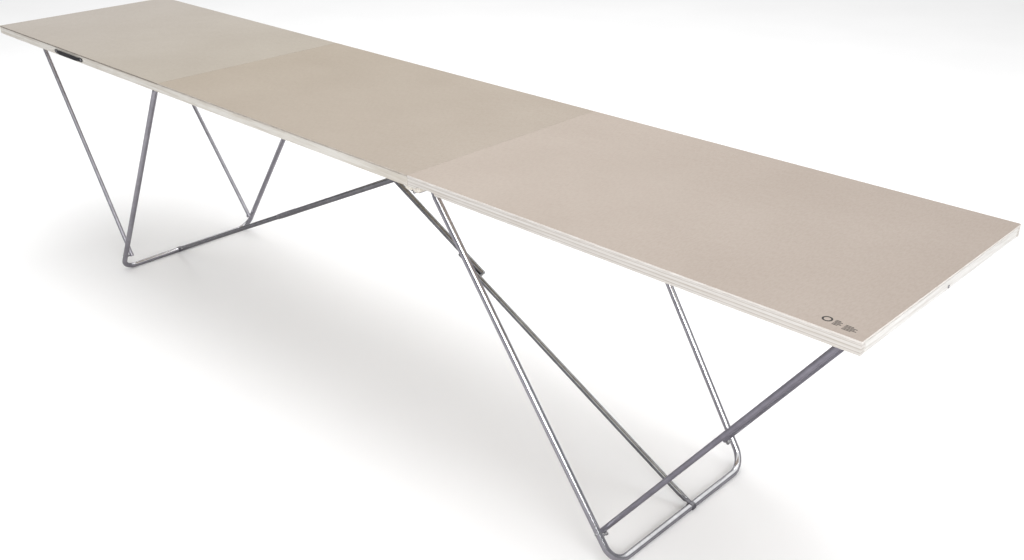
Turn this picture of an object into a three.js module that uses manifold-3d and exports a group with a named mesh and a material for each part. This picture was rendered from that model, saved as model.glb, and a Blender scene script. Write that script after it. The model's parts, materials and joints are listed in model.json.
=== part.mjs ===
// Three-section folding pasting table: 3 m long, 0.6 m deep and 0.75 m high.
// Millimetres, +Z up, +X along the length. The origin is on the floor under the middle of the table.
// The side is -1 for the left end section and +1 for the right one, and an end section's "out" is the
// distance from its seam towards the table's end.

import * as THREE from 'three';
import Module from 'manifold-3d';
import { mergeVertices } from 'three/addons/utils/BufferGeometryUtils.js';

const wasm = await Module();
wasm.setup();

// Driving dimensions
const SECTION_LENGTH = 1000;
const TABLE_DEPTH = 600;
const TABLE_HEIGHT = 750;
const SHEET_THICKNESS = 4;
const RAIL_HEIGHT = 20.5;
const RAIL_THICKNESS = 12;
const CROSS_RAIL_THICKNESS = 18;
const GAP = 0.3;

// Tube and bar radii
const LEG_RADIUS = 8;
const STRUT_RADIUS = 6;
const BRACE_RADIUS = 7.6;
const BRACE_INNER_RADIUS = 6.6;

// Legs: a tapered U of tube, its pivots just inside the seam, its foot bar on the floor
const LEG_PIVOT_OUT = 50;
const LEG_PIVOT_DROP = 20;
const LEG_PIVOT_INSET = 21.5;
const FOOT_OUT = 540;
const FOOT_INSET = 56;
const FOOT_BEND = 48;

// Struts: from the outer end of an end section down to the leg
const STRUT_TOP_OUT = 968;
const STRUT_TOP_DROP = 13;
const STRUT_TOP_INSET = 102;
const STRUT_FOOT_ALONG = 0.912;
const STRUT_FOOT_INSET = 72;

// Braces: from the middle section's far seam down to the foot bar, in two halves
const BRACE_TOP_FROM_SEAM = 24;
const BRACE_TOP_DROP = 13;
const BRACE_TOP_OFFSET = 95;
const BRACE_FOOT_OFFSET = 33;
const BRACE_JOINT_ALONG = 0.516;
const UPPER_JOINT_OFFSET = 70;
const LOWER_JOINT_OFFSET = 52.5;
const LOWER_START = 6;
const CLASP_LENGTH = 86;
const CLIP_WALL = 3;
const CLIP_CLEARANCE = 1;

// Fold axes below the top: the left seam's just under the rails, the right seam's lower by about half a
// folded section's thickness, so that the right section closes over the left one
const LEFT_AXIS_DROP = 29.5;
const RIGHT_AXIS_DROP = 42.8;
const BARREL_RADIUS = 3.2;
const LEAF_THICKNESS = 1.5;
const LEAF_WIDTH = 17;
const HINGE_LENGTH = 60;
const HINGE_INSET = 120;
const LUG_REACH = 23;
const LUG_INSET = 13;
const LUG_WIDTH = 66;

// Carrying handle on the left section's front rail
const HANDLE_LENGTH = 176;
const HANDLE_WIDTH = 13;
const HANDLE_PROUD = 5;
const HANDLE_OUT = 517;

// Worked-out levels and places
const RAIL_TOP = TABLE_HEIGHT - SHEET_THICKNESS - GAP;
const RAIL_BOTTOM = TABLE_HEIGHT - SHEET_THICKNESS - RAIL_HEIGHT;
const HALF_MIDDLE = SECTION_LENGTH / 2;
const HALF_DEPTH = TABLE_DEPTH / 2;
const FOOT_LEVEL = LEG_RADIUS;
const LUG_BOTTOM = TABLE_HEIGHT - RIGHT_AXIS_DROP + BARREL_RADIUS + GAP;

const board = () => new THREE.MeshStandardMaterial({ color: 0xcdbfae, roughness: 0.55, metalness: 0 });
const timber = () => new THREE.MeshStandardMaterial({ color: 0xe4d9c8, roughness: 0.7, metalness: 0 });
const zincTube = () => new THREE.MeshStandardMaterial({ color: 0xb9bbbd, roughness: 0.28, metalness: 1 });
const zincPlate = () => new THREE.MeshStandardMaterial({ color: 0x9c9ea0, roughness: 0.4, metalness: 1 });
const blackPlastic = () => new THREE.MeshStandardMaterial({
  color: 0x1d1d1f, roughness: 0.5, metalness: 0,
});

const table = new THREE.Group();
table.position.y = HANDLE_PROUD / 2;

function addMesh(name, geometry, material) {
  const mesh = new THREE.Mesh(geometry, material);
  mesh.name = name;
  table.add(mesh);
  return mesh;
}

// A box between two opposite corners, given as [low, high] along each axis
function addBlock(name, material, spanX, spanY, spanZ) {
  const size = [spanX, spanY, spanZ].map(([low, high]) => high - low);
  const centre = [spanX, spanY, spanZ].map(([low, high]) => (low + high) / 2);
  const mesh = addMesh(name, new THREE.BoxGeometry(...size), material);
  mesh.position.set(...centre);
  return mesh;
}

// A span mirrored with its side, with the lower value first
function sideSpan(side, from, to) {
  return [side * from, side * to].sort((a, b) => a - b);
}

// A path through bend stations that an extrusion follows station by station
class StationPath extends THREE.Curve {
  constructor(stations) {
    super();
    this.stations = stations;
  }

  index(t) {
    return Math.round(t * (this.stations.length - 1));
  }

  getPoint(t) {
    return this.stations[this.index(t)].clone();
  }

  getPointAt(t) {
    return this.getPoint(t);
  }

  getTangentAt(t) {
    const i = this.index(t);
    const before = this.stations[Math.max(i - 1, 0)];
    const here = this.stations[i];
    const after = this.stations[Math.min(i + 1, this.stations.length - 1)];
    const tangent = new THREE.Vector3();
    if (i > 0) tangent.add(here.clone().sub(before).normalize());
    if (i < this.stations.length - 1) tangent.add(after.clone().sub(here).normalize());
    return tangent.normalize();
  }
}

// Stations round a bend of the given radius at a corner
function bendStations(before, corner, after, radius, steps = 6) {
  const back = before.clone().sub(corner).normalize();
  const ahead = after.clone().sub(corner).normalize();
  const halfAngle = back.angleTo(ahead) / 2;
  const middle = back.clone().add(ahead).normalize();
  const centre = corner.clone().addScaledVector(middle, radius / Math.sin(halfAngle));
  const start = corner.clone().addScaledVector(back, radius / Math.tan(halfAngle)).sub(centre);
  const normal = back.clone().cross(ahead).normalize();
  const turn = -(Math.PI - 2 * halfAngle);
  return Array.from({ length: steps + 1 }, (_, i) => (
    start.clone().applyAxisAngle(normal, (turn * i) / steps).add(centre)
  ));
}

// A round bar or tube through stations
function roundBar(stations, radius, sides = 10) {
  const section = new THREE.Shape();
  for (let i = 0; i < sides; i += 1) {
    const angle = (2 * Math.PI * (i + 0.5)) / sides;
    const place = [radius * Math.cos(angle), radius * Math.sin(angle)];
    if (i === 0) section.moveTo(...place);
    else section.lineTo(...place);
  }
  return new THREE.ExtrudeGeometry(section, {
    steps: stations.length - 1,
    extrudePath: new StationPath(stations),
    bevelEnabled: false,
  });
}

function addBar(name, material, stations, radius, sides) {
  return addMesh(name, roundBar(stations, radius, sides), material);
}

// Places on the structure, as vectors. The row is -1 at the front and +1 at the back.
const rowY = (row, inset) => row * (HALF_DEPTH - inset);
const outX = (side, out) => side * (HALF_MIDDLE + out);
const legPivot = (side, row) => new THREE.Vector3(
  outX(side, LEG_PIVOT_OUT), rowY(row, LEG_PIVOT_INSET), TABLE_HEIGHT - LEG_PIVOT_DROP,
);
const footCorner = (side, row) => new THREE.Vector3(
  outX(side, FOOT_OUT), rowY(row, FOOT_INSET), FOOT_LEVEL,
);
const strutTop = (side, row) => new THREE.Vector3(
  outX(side, STRUT_TOP_OUT), rowY(row, STRUT_TOP_INSET), TABLE_HEIGHT - STRUT_TOP_DROP,
);
const strutFoot = (side, row) => {
  const onLeg = legPivot(side, row).lerp(footCorner(side, row), STRUT_FOOT_ALONG);
  return onLeg.setY(rowY(row, STRUT_FOOT_INSET));
};
// The right brace lies towards the back and the left one towards the front
const braceTop = (side) => new THREE.Vector3(
  -side * (HALF_MIDDLE - BRACE_TOP_FROM_SEAM), side * BRACE_TOP_OFFSET, TABLE_HEIGHT - BRACE_TOP_DROP,
);
const braceFoot = (side) => new THREE.Vector3(outX(side, FOOT_OUT), side * BRACE_FOOT_OFFSET, FOOT_LEVEL);

// A point part of the way from one place to another, moved on by a length
function between(from, to, fraction, onward = 0) {
  const along = to.clone().sub(from).normalize();
  return from.clone().lerp(to, fraction).addScaledVector(along, onward);
}

const SIDE_NAMES = { '-1': 'left', 1: 'right' };
const ROW_NAMES = { '-1': 'front', 1: 'back' };
const SIDES = [-1, 1];
const ROWS = [-1, 1];

// A section's board: a thin sheet over four rails
function addSection(label, spanX) {
  const [low, high] = [spanX[0] + GAP, spanX[1] - GAP];
  addBlock(`${label}_sheet`, board(), [low, high], [-HALF_DEPTH, HALF_DEPTH],
    [TABLE_HEIGHT - SHEET_THICKNESS, TABLE_HEIGHT]);
  for (const row of ROWS) {
    const spanY = sideSpan(row, HALF_DEPTH - RAIL_THICKNESS, HALF_DEPTH);
    addBlock(`${label}_${ROW_NAMES[row]}_rail`, timber(), [low, high], spanY, [RAIL_BOTTOM, RAIL_TOP]);
  }
  const inner = HALF_DEPTH - RAIL_THICKNESS - GAP;
  const notched = label === 'left';
  addCrossRail(`${label}_left_cross_rail`, low, inner, notched);
  addCrossRail(`${label}_right_cross_rail`, high - CROSS_RAIL_THICKNESS, inner, false);
}

// A rail across a section. A notched one has its lower corners cut away for the lugs to nest in.
function addCrossRail(name, lowX, reach, notched) {
  const slack = 2;
  const notchWidth = LUG_INSET + LUG_WIDTH - RAIL_THICKNESS + slack;
  const notchHeight = 14;
  const height = RAIL_TOP - RAIL_BOTTOM;
  const section = new THREE.Shape();
  const half = notched ? reach - notchWidth : reach;
  section.moveTo(-half, 0);
  section.lineTo(half, 0);
  if (notched) {
    section.lineTo(half, notchHeight);
    section.lineTo(reach, notchHeight);
  }
  section.lineTo(reach, height);
  section.lineTo(-reach, height);
  if (notched) {
    section.lineTo(-reach, notchHeight);
    section.lineTo(-half, notchHeight);
  }
  const geometry = new THREE.ExtrudeGeometry(section, { depth: CROSS_RAIL_THICKNESS, bevelEnabled: false });
  const mesh = addMesh(name, geometry, timber());
  const axes = [new THREE.Vector3(0, 1, 0), new THREE.Vector3(0, 0, 1), new THREE.Vector3(1, 0, 0)];
  mesh.quaternion.setFromRotationMatrix(new THREE.Matrix4().makeBasis(...axes));
  mesh.position.set(lowX, 0, RAIL_BOTTOM);
}

// A leg frame: one tube bent into a tapered U
function addLegFrame(side) {
  const corners = [legPivot(side, -1), footCorner(side, -1), footCorner(side, 1), legPivot(side, 1)];
  const stations = [
    corners[0],
    ...bendStations(corners[0], corners[1], corners[2], FOOT_BEND),
    ...bendStations(corners[1], corners[2], corners[3], FOOT_BEND),
    corners[3],
  ];
  addBar(`${SIDE_NAMES[side]}_leg_frame`, zincTube(), stations, LEG_RADIUS, 12);
}

// A leg's pivot plate, screwed under the sheet beside the leg's top end
function addLegBracket(side, row) {
  const plateThickness = 3;
  const clearance = 1;
  const halfLength = 16;
  const inner = LEG_PIVOT_INSET + LEG_RADIUS + clearance;
  addBlock(`${SIDE_NAMES[side]}_${ROW_NAMES[row]}_leg_bracket`, zincPlate(),
    sideSpan(side, HALF_MIDDLE + LEG_PIVOT_OUT - halfLength, HALF_MIDDLE + LEG_PIVOT_OUT + halfLength),
    sideSpan(row, HALF_DEPTH - inner - plateThickness, HALF_DEPTH - inner),
    [TABLE_HEIGHT - LEG_PIVOT_DROP - LEG_RADIUS, RAIL_TOP]);
}

function addStrut(side, row) {
  const top = strutTop(side, row);
  const foot = strutFoot(side, row);
  addBar(`${SIDE_NAMES[side]}_${ROW_NAMES[row]}_strut`, zincTube(), [top, foot], STRUT_RADIUS, 8);
}

// A strut's pivot ear under the sheet, on the side away from the legs
function addStrutBracket(side, row) {
  const plateThickness = 2.5;
  const clearance = 1;
  const halfLength = 11;
  const inset = STRUT_TOP_INSET + STRUT_RADIUS + clearance;
  addBlock(`${SIDE_NAMES[side]}_${ROW_NAMES[row]}_strut_bracket`, zincPlate(),
    sideSpan(side, HALF_MIDDLE + STRUT_TOP_OUT - halfLength, HALF_MIDDLE + STRUT_TOP_OUT + halfLength),
    sideSpan(row, HALF_DEPTH - inset - plateThickness, HALF_DEPTH - inset),
    [TABLE_HEIGHT - STRUT_TOP_DROP - STRUT_RADIUS, RAIL_TOP]);
}

// A strut's catch pin: a short stud on the inner side of the leg, just above the strut's end
function addStrutPin(side, row) {
  const onLeg = legPivot(side, row).lerp(footCorner(side, row), STRUT_FOOT_ALONG);
  const pinRadius = 3;
  const pinLength = 14;
  const clearance = 1;
  const pastStrut = STRUT_RADIUS + pinRadius + clearance;
  const place = between(onLeg, footCorner(side, row), 0, pastStrut);
  const surface = place.clone().setY(place.y - row * (LEG_RADIUS + GAP));
  const tip = surface.clone().setY(surface.y - row * pinLength);
  addBar(`${SIDE_NAMES[side]}_${ROW_NAMES[row]}_strut_catch`, zincPlate(), [surface, tip], pinRadius, 8);
}

// A brace in two halves, which lie side by side with a clasp plate between them where they meet
function addBrace(side) {
  const top = braceTop(side);
  const foot = braceFoot(side);
  const label = SIDE_NAMES[side];
  const joint = between(top, foot, BRACE_JOINT_ALONG);
  const shift = (place, offset, onward) => between(place, foot, 0, onward).setY(side * offset);
  const overlap = CLASP_LENGTH / 2;
  const upperEnd = shift(joint, UPPER_JOINT_OFFSET, overlap);
  const lowerStart = shift(joint, LOWER_JOINT_OFFSET, LOWER_START);
  const lowerEnd = between(foot, lowerStart, 0, LEG_RADIUS + CLIP_WALL + CLIP_CLEARANCE);
  addBar(`${label}_brace_upper`, zincTube(), [top, upperEnd], BRACE_RADIUS, 10);
  addBar(`${label}_brace_lower`, zincTube(), [lowerStart, lowerEnd], BRACE_INNER_RADIUS, 8);
  addClasp(side, shift(joint, UPPER_JOINT_OFFSET, -overlap), upperEnd);
  addFootClip(label, foot);
}

// The clasp plate: an upright plate fixed to the upper half, which the lower half lies against
function addClasp(side, from, to) {
  const thickness = 1.5;
  const slack = 1;
  const height = 2 * BRACE_RADIUS + 1;
  const length = from.distanceTo(to);
  const middle = from.clone().lerp(to, 0.5);
  const innerFace = middle.y - side * (BRACE_RADIUS + slack + thickness / 2);
  const geometry = new THREE.BoxGeometry(length, thickness, height);
  const mesh = addMesh(`${SIDE_NAMES[side]}_brace_clasp`, geometry, zincPlate());
  mesh.rotation.y = Math.atan2(from.z - to.z, to.x - from.x) + (side < 0 ? Math.PI : 0);
  mesh.position.copy(middle).setY(innerFace);
}

// The clip at a brace's foot: a split ring round the foot bar, open at the floor
function addFootClip(label, foot) {
  const slack = 0.6;
  const bore = LEG_RADIUS + slack;
  const outer = LEG_RADIUS + CLIP_WALL;
  const halfWidth = 9;
  const mouth = THREE.MathUtils.degToRad(50);
  const from = -Math.PI / 2 + mouth;
  const to = 1.5 * Math.PI - mouth;
  const steps = 14;
  const arc = (radius) => Array.from({ length: steps + 1 }, (_, i) => {
    const angle = from + ((to - from) * i) / steps;
    return new THREE.Vector2(radius * Math.cos(angle), radius * Math.sin(angle));
  });
  const section = new THREE.Shape([...arc(outer), ...arc(bore).reverse()]);
  const geometry = new THREE.ExtrudeGeometry(section, { depth: 2 * halfWidth, bevelEnabled: false });
  const mesh = addMesh(`${label}_brace_clip`, geometry, zincPlate());
  mesh.rotation.x = Math.PI / 2;
  mesh.position.copy(foot).setY(foot.y + halfWidth);
}

// A brace's pivot ear under the middle section's sheet
function addBraceBracket(side) {
  const top = braceTop(side);
  const plateThickness = 2.5;
  const halfLength = 5;
  const clearance = 1.5;
  const near = top.y + side * (BRACE_RADIUS + clearance);
  addBlock(`${SIDE_NAMES[side]}_brace_bracket`, zincPlate(), [top.x - halfLength, top.x + halfLength],
    sideSpan(side, side * near, side * near + plateThickness),
    [TABLE_HEIGHT - BRACE_TOP_DROP - BRACE_RADIUS, RAIL_TOP]);
}

// Joins closed pieces into one solid
function joined(geometries) {
  const solids = geometries.map((geometry) => {
    geometry.deleteAttribute('normal');
    geometry.deleteAttribute('uv');
    const merged = mergeVertices(geometry);
    const vertProperties = new Float32Array(merged.attributes.position.array);
    const triVerts = new Uint32Array(merged.index.array);
    return new wasm.Manifold(new wasm.Mesh({ numProp: 3, vertProperties, triVerts }));
  });
  const mesh = solids.reduce((whole, solid) => whole.add(solid)).getMesh();
  const result = new THREE.BufferGeometry();
  result.setAttribute('position', new THREE.BufferAttribute(mesh.vertProperties, 3));
  result.setIndex(new THREE.BufferAttribute(mesh.triVerts, 1));
  const faceted = result.toNonIndexed();
  faceted.computeVertexNormals();
  return faceted;
}

// One leaf of a butt hinge about the Y axis: a plate level with the top of its knuckles. Its tabs run a
// hair lower than the plate, so that the joined solid has no faces that only nearly coincide.
function hingeLeaf(direction, knuckleStarts, knuckleLength) {
  const clearance = 0.5;
  const step = 0.01;
  const overlap = 1;
  const plateFrom = BARREL_RADIUS + clearance;
  const plate = new THREE.BoxGeometry(LEAF_WIDTH - plateFrom, HINGE_LENGTH, LEAF_THICKNESS);
  plate.translate((direction * (LEAF_WIDTH + plateFrom)) / 2, 0, BARREL_RADIUS - LEAF_THICKNESS / 2);
  const pieces = [plate];
  for (const start of knuckleStarts) {
    const length = knuckleLength - clearance;
    const middle = start + knuckleLength / 2;
    const knuckle = new THREE.CylinderGeometry(BARREL_RADIUS, BARREL_RADIUS, length, 12);
    knuckle.translate(0, middle, 0);
    const tab = new THREE.BoxGeometry(plateFrom + overlap, length, LEAF_THICKNESS);
    const tabLevel = BARREL_RADIUS - LEAF_THICKNESS / 2 - step;
    tab.translate((direction * (plateFrom + overlap)) / 2, middle, tabLevel);
    pieces.push(knuckle, tab);
  }
  return joined(pieces);
}

function addHinge(seam, axisDrop, row, inset) {
  const seamX = seam === 'left' ? -HALF_MIDDLE : HALF_MIDDLE;
  const inward = seam === 'left' ? 1 : -1;
  const third = HINGE_LENGTH / 3;
  const leaves = [
    ['middle_leaf', inward, [-1.5 * third, 0.5 * third]],
    ['end_leaf', -inward, [-0.5 * third]],
  ];
  for (const [part, direction, knuckleStarts] of leaves) {
    const name = `${seam}_seam_${ROW_NAMES[row]}_hinge_${part}`;
    const mesh = addMesh(name, hingeLeaf(direction, knuckleStarts, third), zincPlate());
    mesh.position.set(seamX, rowY(row, inset), TABLE_HEIGHT - axisDrop);
  }
}

// The right seam's wooden lugs, which carry its hinges clear of a folded left section
function addLugs(row) {
  const levels = [LUG_BOTTOM, RAIL_BOTTOM - GAP];
  const spanY = sideSpan(row, HALF_DEPTH - LUG_INSET - LUG_WIDTH, HALF_DEPTH - LUG_INSET);
  const rowName = ROW_NAMES[row];
  addBlock(`middle_${rowName}_lug`, timber(), [HALF_MIDDLE - LUG_REACH, HALF_MIDDLE - GAP], spanY, levels);
  addBlock(`right_${rowName}_lug`, timber(), [HALF_MIDDLE + GAP, HALF_MIDDLE + LUG_REACH], spanY, levels);
}

// A flat strap handle that bows out of the rail between its two ends
function addHandle() {
  const centreX = -HALF_MIDDLE - HANDLE_OUT;
  const half = HANDLE_LENGTH / 2;
  const endLength = 20;
  const strap = 3;
  const face = -HALF_DEPTH - GAP;
  const proud = -HALF_DEPTH - HANDLE_PROUD;
  const outline = [
    [-half, face], [-half, face - strap + GAP], [-half + endLength, proud], [half - endLength, proud],
    [half, face - strap + GAP], [half, face], [half - endLength, face],
    [half - endLength - strap, proud + strap], [-half + endLength + strap, proud + strap],
    [-half + endLength, face],
  ];
  const section = new THREE.Shape(outline.map((place) => new THREE.Vector2(...place)));
  const geometry = new THREE.ExtrudeGeometry(section, { depth: HANDLE_WIDTH, bevelEnabled: false });
  const railMiddle = (RAIL_BOTTOM + RAIL_TOP) / 2;
  const handle = addMesh('carrying_handle', geometry, blackPlastic());
  handle.position.set(centreX, 0, railMiddle - HANDLE_WIDTH / 2);
}

addSection('left', [-HALF_MIDDLE - SECTION_LENGTH, -HALF_MIDDLE]);
addSection('middle', [-HALF_MIDDLE, HALF_MIDDLE]);
addSection('right', [HALF_MIDDLE, HALF_MIDDLE + SECTION_LENGTH]);
for (const side of SIDES) {
  addLegFrame(side);
  addBrace(side);
  addBraceBracket(side);
  for (const row of ROWS) {
    addLegBracket(side, row);
    addStrut(side, row);
    addStrutBracket(side, row);
    addStrutPin(side, row);
  }
}
for (const row of ROWS) {
  addHinge('left', LEFT_AXIS_DROP, row, HINGE_INSET);
  addHinge('right', RIGHT_AXIS_DROP, row, LUG_INSET + LUG_WIDTH / 2);
  addLugs(row);
}
addHandle();

export default table;
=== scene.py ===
"""Looks for the folding pasting table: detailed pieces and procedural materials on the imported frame."""

import json
import math

import bmesh
import bpy
from mathutils import Matrix, Vector


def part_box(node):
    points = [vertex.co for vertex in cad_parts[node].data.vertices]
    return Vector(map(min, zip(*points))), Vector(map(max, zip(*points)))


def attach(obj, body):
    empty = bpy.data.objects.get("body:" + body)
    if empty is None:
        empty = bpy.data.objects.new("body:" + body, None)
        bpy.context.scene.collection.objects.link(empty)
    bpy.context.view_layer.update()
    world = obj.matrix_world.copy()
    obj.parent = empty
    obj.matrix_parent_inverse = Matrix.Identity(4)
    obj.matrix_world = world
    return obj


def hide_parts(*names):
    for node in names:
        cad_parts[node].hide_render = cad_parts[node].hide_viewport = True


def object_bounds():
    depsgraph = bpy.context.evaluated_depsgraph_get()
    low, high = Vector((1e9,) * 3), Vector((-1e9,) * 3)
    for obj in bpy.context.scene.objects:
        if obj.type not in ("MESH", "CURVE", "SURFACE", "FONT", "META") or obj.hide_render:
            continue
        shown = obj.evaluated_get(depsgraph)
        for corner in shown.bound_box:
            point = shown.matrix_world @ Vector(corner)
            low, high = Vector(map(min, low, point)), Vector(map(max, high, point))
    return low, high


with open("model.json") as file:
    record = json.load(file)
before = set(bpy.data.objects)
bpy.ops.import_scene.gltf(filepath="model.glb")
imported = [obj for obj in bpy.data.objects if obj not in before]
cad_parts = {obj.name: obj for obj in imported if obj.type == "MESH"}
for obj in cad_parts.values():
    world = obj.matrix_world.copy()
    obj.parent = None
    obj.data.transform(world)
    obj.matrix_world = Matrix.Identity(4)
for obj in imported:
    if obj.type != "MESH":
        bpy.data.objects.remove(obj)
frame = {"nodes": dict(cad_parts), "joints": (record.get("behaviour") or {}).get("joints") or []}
CAD_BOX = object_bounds()
NODES = frame["nodes"]
JOINTS = {joint["name"]: joint for joint in frame["joints"]}

MM = 0.001
ACROSS = Vector((0, 1, 0))
UP = Vector((0, 0, 1))
SIDES = {"left": -1, "right": 1}
ROWS = {"front": -1, "back": 1}
SECTIONS = ("left", "middle", "right")
X_AXIS = Vector((1, 0, 0))
WHITE = (1, 1, 1)

SHEET_LOW, SHEET_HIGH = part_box("middle_sheet")
RAIL_LOW, RAIL_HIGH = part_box("middle_front_rail")
CENTRE_Y = (SHEET_LOW.y + SHEET_HIGH.y) / 2
HALF_DEPTH = (SHEET_HIGH.y - SHEET_LOW.y) / 2
UNDERSIDE = SHEET_LOW.z

# Sizes that the joints and the tubes' boxes don't give
FOOT_CORNER_INSET = 56 * MM
FOOT_BEND_RADIUS = 48 * MM
TUBE_WALL = 1.1 * MM
PLATE = 2 * MM
BOLT_RADIUS = 2.6 * MM
BOLT_HEAD_FROM_TUBE = 4.2 * MM
NUT_FROM_EAR = 3.2 * MM

# Degrees above which an edge is shaded sharp. The low one keeps large faces flat up to their eased edges
ROUND_FACES = 38
FLAT_FACES = 15


# ---------------------------------------------------------------- materials

class Paint:
    """A node material being put together: one Principled shader and its texture nodes."""

    def __init__(self, name, roughness, metallic=0.0):
        self.material = bpy.data.materials.new(name)
        self.material.use_nodes = True
        self.nodes = self.material.node_tree.nodes
        self.links = self.material.node_tree.links
        self.shader = self.nodes["Principled BSDF"]
        self.shader.inputs["Metallic"].default_value = metallic
        self.shader.inputs["Roughness"].default_value = roughness
        self.coordinates = self.nodes.new("ShaderNodeTexCoord")

    def noise(self, scale, detail=4.0, stretch=(1, 1, 1)):
        """Noise over the piece's own coordinates, with features about 1/scale metres across."""
        mapping = self.nodes.new("ShaderNodeMapping")
        mapping.inputs["Scale"].default_value = stretch
        texture = self.nodes.new("ShaderNodeTexNoise")
        texture.inputs["Scale"].default_value = scale
        texture.inputs["Detail"].default_value = detail
        self.links.new(self.coordinates.outputs["Object"], mapping.inputs["Vector"])
        self.links.new(mapping.outputs["Vector"], texture.inputs["Vector"])
        return texture.outputs["Fac"]

    def ramp(self, value, stops):
        """A colour ramp through (position, colour) stops."""
        node = self.nodes.new("ShaderNodeValToRGB")
        ends = node.color_ramp.elements
        while len(ends) < len(stops):
            ends.new(0.5)
        for element, (position, colour) in zip(ends, stops):
            element.position = position
            element.color = (*colour, 1.0)
        self.links.new(value, node.inputs["Fac"])
        return node.outputs["Color"]

    def shaded(self, colour, shade, amount):
        """A colour multiplied by a shade, by an amount from 0 to 1."""
        node = self.nodes.new("ShaderNodeMix")
        node.data_type = "RGBA"
        node.blend_type = "MULTIPLY"
        node.inputs["Factor"].default_value = amount
        self.links.new(colour, node.inputs["A"])
        self.links.new(shade, node.inputs["B"])
        return node.outputs["Result"]

    def fraction(self, axis, low, high):
        """How far a point is from one place to another along an axis of the piece's own coordinates."""
        split = self.nodes.new("ShaderNodeSeparateXYZ")
        scaled = self.nodes.new("ShaderNodeMapRange")
        scaled.inputs["From Min"].default_value = low
        scaled.inputs["From Max"].default_value = high
        self.links.new(self.coordinates.outputs["Object"], split.inputs["Vector"])
        self.links.new(split.outputs[axis], scaled.inputs["Value"])
        return scaled.outputs["Result"]

    def colour(self, value):
        self.links.new(value, self.shader.inputs["Base Color"])

    def roughness(self, value, low, high):
        """Roughness between two values, following a texture."""
        scaled = self.nodes.new("ShaderNodeMapRange")
        scaled.inputs["To Min"].default_value = low
        scaled.inputs["To Max"].default_value = high
        self.links.new(value, scaled.inputs["Value"])
        self.links.new(scaled.outputs["Result"], self.shader.inputs["Roughness"])

    def bump(self, value, height):
        """Surface relief of about that height in metres."""
        node = self.nodes.new("ShaderNodeBump")
        node.inputs["Distance"].default_value = height
        self.links.new(value, node.inputs["Height"])
        self.links.new(node.outputs["Normal"], self.shader.inputs["Normal"])


def fibreboard(name, section, left_tone, right_tone):
    """Smooth pressed fibreboard with short fibres and fine flecks. Its tone drifts along the section."""
    paint = Paint(name, roughness=0.5)
    low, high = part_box(f"{section}_sheet")
    drift = paint.ramp(paint.fraction("X", low.x, high.x), [(0, left_tone), (1, right_tone)])
    clouds = paint.ramp(paint.noise(5, 5), [(0.3, (0.94, 0.93, 0.92)), (0.7, WHITE)])
    fibres = paint.ramp(paint.noise(260, 6, (1, 0.35, 1)), [(0.35, (0.8, 0.78, 0.75)), (0.6, WHITE)])
    flecks = paint.ramp(paint.noise(900, 2), [(0.27, (0.5, 0.42, 0.34)), (0.36, WHITE)])
    cloudy = paint.shaded(drift, clouds, 1.0)
    fibrous = paint.shaded(cloudy, fibres, 0.35)
    paint.colour(paint.shaded(fibrous, flecks, 0.45))
    paint.roughness(paint.noise(30, 3), 0.42, 0.6)
    paint.bump(paint.noise(420, 6), 0.15 * MM)
    return paint.material


def sawn_edge(name, pale, dark):
    """The sawn edge of a sheet: compressed fibres in fine layers."""
    paint = Paint(name, roughness=0.75)
    paint.colour(paint.ramp(paint.noise(500, 5, (0.1, 0.1, 1)), [(0.35, dark), (0.62, pale)]))
    paint.roughness(paint.noise(200, 3), 0.65, 0.85)
    paint.bump(paint.noise(900, 4), 0.2 * MM)
    return paint.material


def stamp_ink(name):
    """Thin black ink that hasn't taken everywhere."""
    paint = Paint(name, roughness=0.7)
    paint.colour(paint.ramp(paint.noise(1500, 3), [(0.45, (0.012, 0.011, 0.01)), (0.75, (0.06, 0.05, 0.04))]))
    paint.roughness(paint.noise(300, 3), 0.6, 0.8)
    return paint.material


def softwood(name, grain, pale, dark):
    """Planed softwood with its grain along X or Y."""
    paint = Paint(name, roughness=0.6)
    stretch = (0.035, 1, 1) if grain == "X" else (1, 0.035, 1)
    years = paint.ramp(paint.noise(190, 5, stretch), [(0.36, dark), (0.55, pale), (0.8, pale)])
    pores = paint.ramp(paint.noise(900, 3, stretch), [(0.34, (0.8, 0.76, 0.7)), (0.5, WHITE)])
    tone = paint.ramp(paint.noise(3, 2), [(0.35, (0.95, 0.94, 0.92)), (0.65, WHITE)])
    porous = paint.shaded(years, pores, 0.5)
    paint.colour(paint.shaded(porous, tone, 1.0))
    paint.roughness(paint.noise(60, 3, stretch), 0.5, 0.72)
    paint.bump(paint.noise(500, 4, stretch), 0.2 * MM)
    return paint.material


def layered_wood(name):
    """A rail sawn from laminated wood, its glue lines level with the top."""
    paint = Paint(name, roughness=0.6)
    pale = (0.605, 0.58, 0.555)
    deep = (0.52, 0.49, 0.455)
    glue = (0.36, 0.315, 0.275)
    layers = paint.ramp(paint.fraction("Z", RAIL_LOW.z, RAIL_HIGH.z), [
        (0.0, deep), (0.2, pale), (0.27, glue), (0.31, pale), (0.53, deep),
        (0.57, glue), (0.61, pale), (0.83, pale), (0.87, glue), (0.91, pale),
    ])
    stretch = (0.04, 1, 1)
    streaks = paint.ramp(paint.noise(320, 5, stretch), [(0.32, (0.82, 0.78, 0.73)), (0.58, WHITE)])
    paint.colour(paint.shaded(layers, streaks, 0.5))
    paint.roughness(paint.noise(60, 3, stretch), 0.5, 0.7)
    paint.bump(paint.noise(420, 4, stretch), 0.25 * MM)
    return paint.material


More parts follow.
